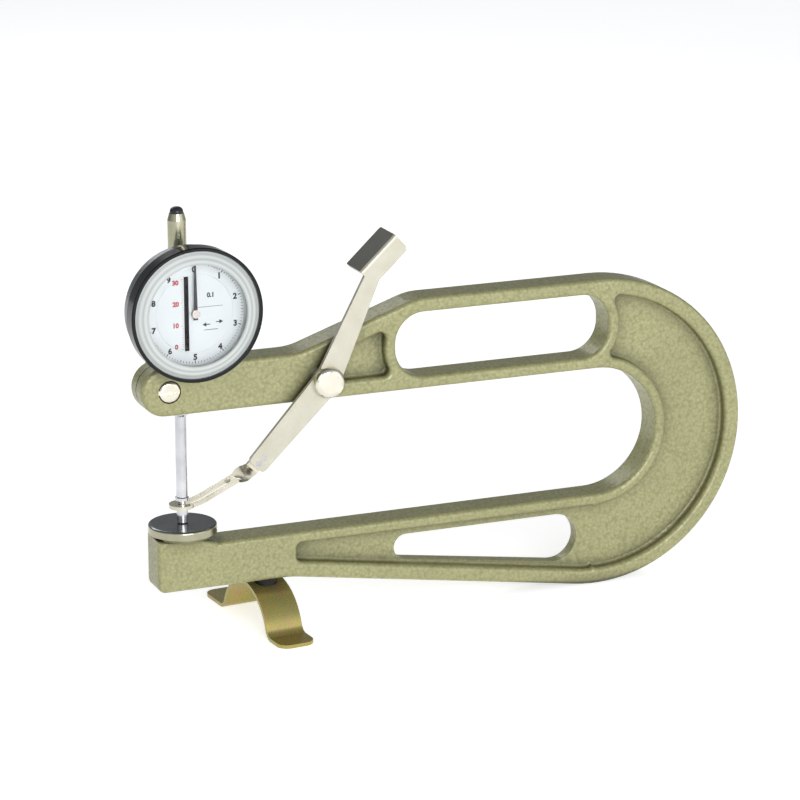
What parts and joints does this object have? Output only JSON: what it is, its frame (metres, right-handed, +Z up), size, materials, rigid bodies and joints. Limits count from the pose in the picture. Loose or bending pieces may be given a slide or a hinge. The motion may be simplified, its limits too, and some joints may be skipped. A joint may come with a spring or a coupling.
{
  "type": "thickness gauge",
  "caption": "Deep-throat dial thickness gauge with a cast frame, a lifting lever and an arched foot",
  "frame": {"origin": "centre of the anvil's measuring face, on the plunger's axis", "axes": "+X runs from the anvil into the throat, +Y runs away from the side the dial is read from, +Z runs up along the plunger"},
  "size_m": [0.2967, 0.0828, 0.1912],
  "materials": {
    "hammertone": "hammertone enamel, khaki green",
    "nickel": "satin nickel plate",
    "steel": "ground and polished",
    "gauge_steel": "hardened, lapped face",
    "passivated": "yellow passivated zinc",
    "black_enamel": "gloss black stoved enamel",
    "crystal": "clear, polished",
    "dial_white": "matt white printed enamel",
    "black_lacquer": "matt black lacquer",
    "brass": "machined",
    "dark_knob": "moulded"
  },
  "bodies": {
    "gauge": {"frame": "hammertone", "anvil": "gauge_steel", "anvil_set_screw": "steel", "foot": "passivated", "foot_washer": "steel", "foot_spacer": "black_lacquer", "foot_screw": "nickel", "clamp_screw": "nickel", "stem": "steel", "indicator_case": "black_enamel", "back_cover": "black_enamel", "cover_screws": "nickel", "top_tube": "nickel", "dial_plate": "dial_white", "front_plate": "black_lacquer", "rear_plate": "brass", "plate_posts": "brass", "return_spring": "steel", "pivot_stud": "nickel", "pivot_washer": "steel"},
    "bezel_ring": {"bezel": "black_enamel", "crystal": "crystal", "scale_ring": "dial_white"},
    "plunger_rod": {"plunger": "steel", "lift_spool": "steel", "contact_tip": "gauge_steel", "top_knob": "dark_knob", "index_carrier": "brass", "travel_index": "black_lacquer"},
    "pinion_shaft": {"rack_pinion": "steel", "drive_wheel": "brass"},
    "idler_shaft": {"idler_pinion": "steel"},
    "needle_shaft": {"centre_pinion": "steel", "needle": "black_lacquer"},
    "lifting_lever": {"lever": "nickel", "fork_blade": "nickel", "fork_rivets": "steel"}
  },
  "joints": [
    {"name": "plunger_lift", "type": "slide", "parent": "gauge", "child": "plunger_rod", "axis": [0, 0, 1], "range_m": [0, 0.03], "stiffness_N_per_m": 20, "springref_m": -0.04, "deforming": ["return_spring"]},
    {"name": "pinion_spin", "type": "hinge", "parent": "gauge", "child": "pinion_shaft", "pos_m": [0.00478, 0, 0.08783], "axis": [0, 1, 0], "range_deg": [0, 540]},
    {"name": "idler_spin", "type": "hinge", "parent": "gauge", "child": "idler_shaft", "pos_m": [0.00792, 0, 0.09941], "axis": [0, 1, 0], "range_deg": [-1080, 0]},
    {"name": "needle_spin", "type": "hinge", "parent": "gauge", "child": "needle_shaft", "pos_m": [0, 0, 0.0983], "axis": [0, 1, 0], "range_deg": [0, 1080]},
    {"name": "lever_swing", "type": "hinge", "parent": "gauge", "child": "lifting_lever", "pos_m": [0.0628, 0, 0.0598], "axis": [0, 1, 0], "range_deg": [0, 25.5]},
    {"name": "bezel_turn", "type": "hinge", "parent": "gauge", "child": "bezel_ring", "pos_m": [0, 0, 0.0983], "axis": [0, 1, 0], "continuous": true}
  ],
  "couplings": [
    {"joint": "pinion_spin", "follows": "plunger_lift", "rad_per_m": 314.16},
    {"joint": "idler_spin", "follows": "plunger_lift", "rad_per_m": -628.32},
    {"joint": "needle_spin", "follows": "plunger_lift", "rad_per_m": 628.32},
    {"joint": "lever_swing", "follows": "plunger_lift", "rad_per_m": 14.835}
  ]
}
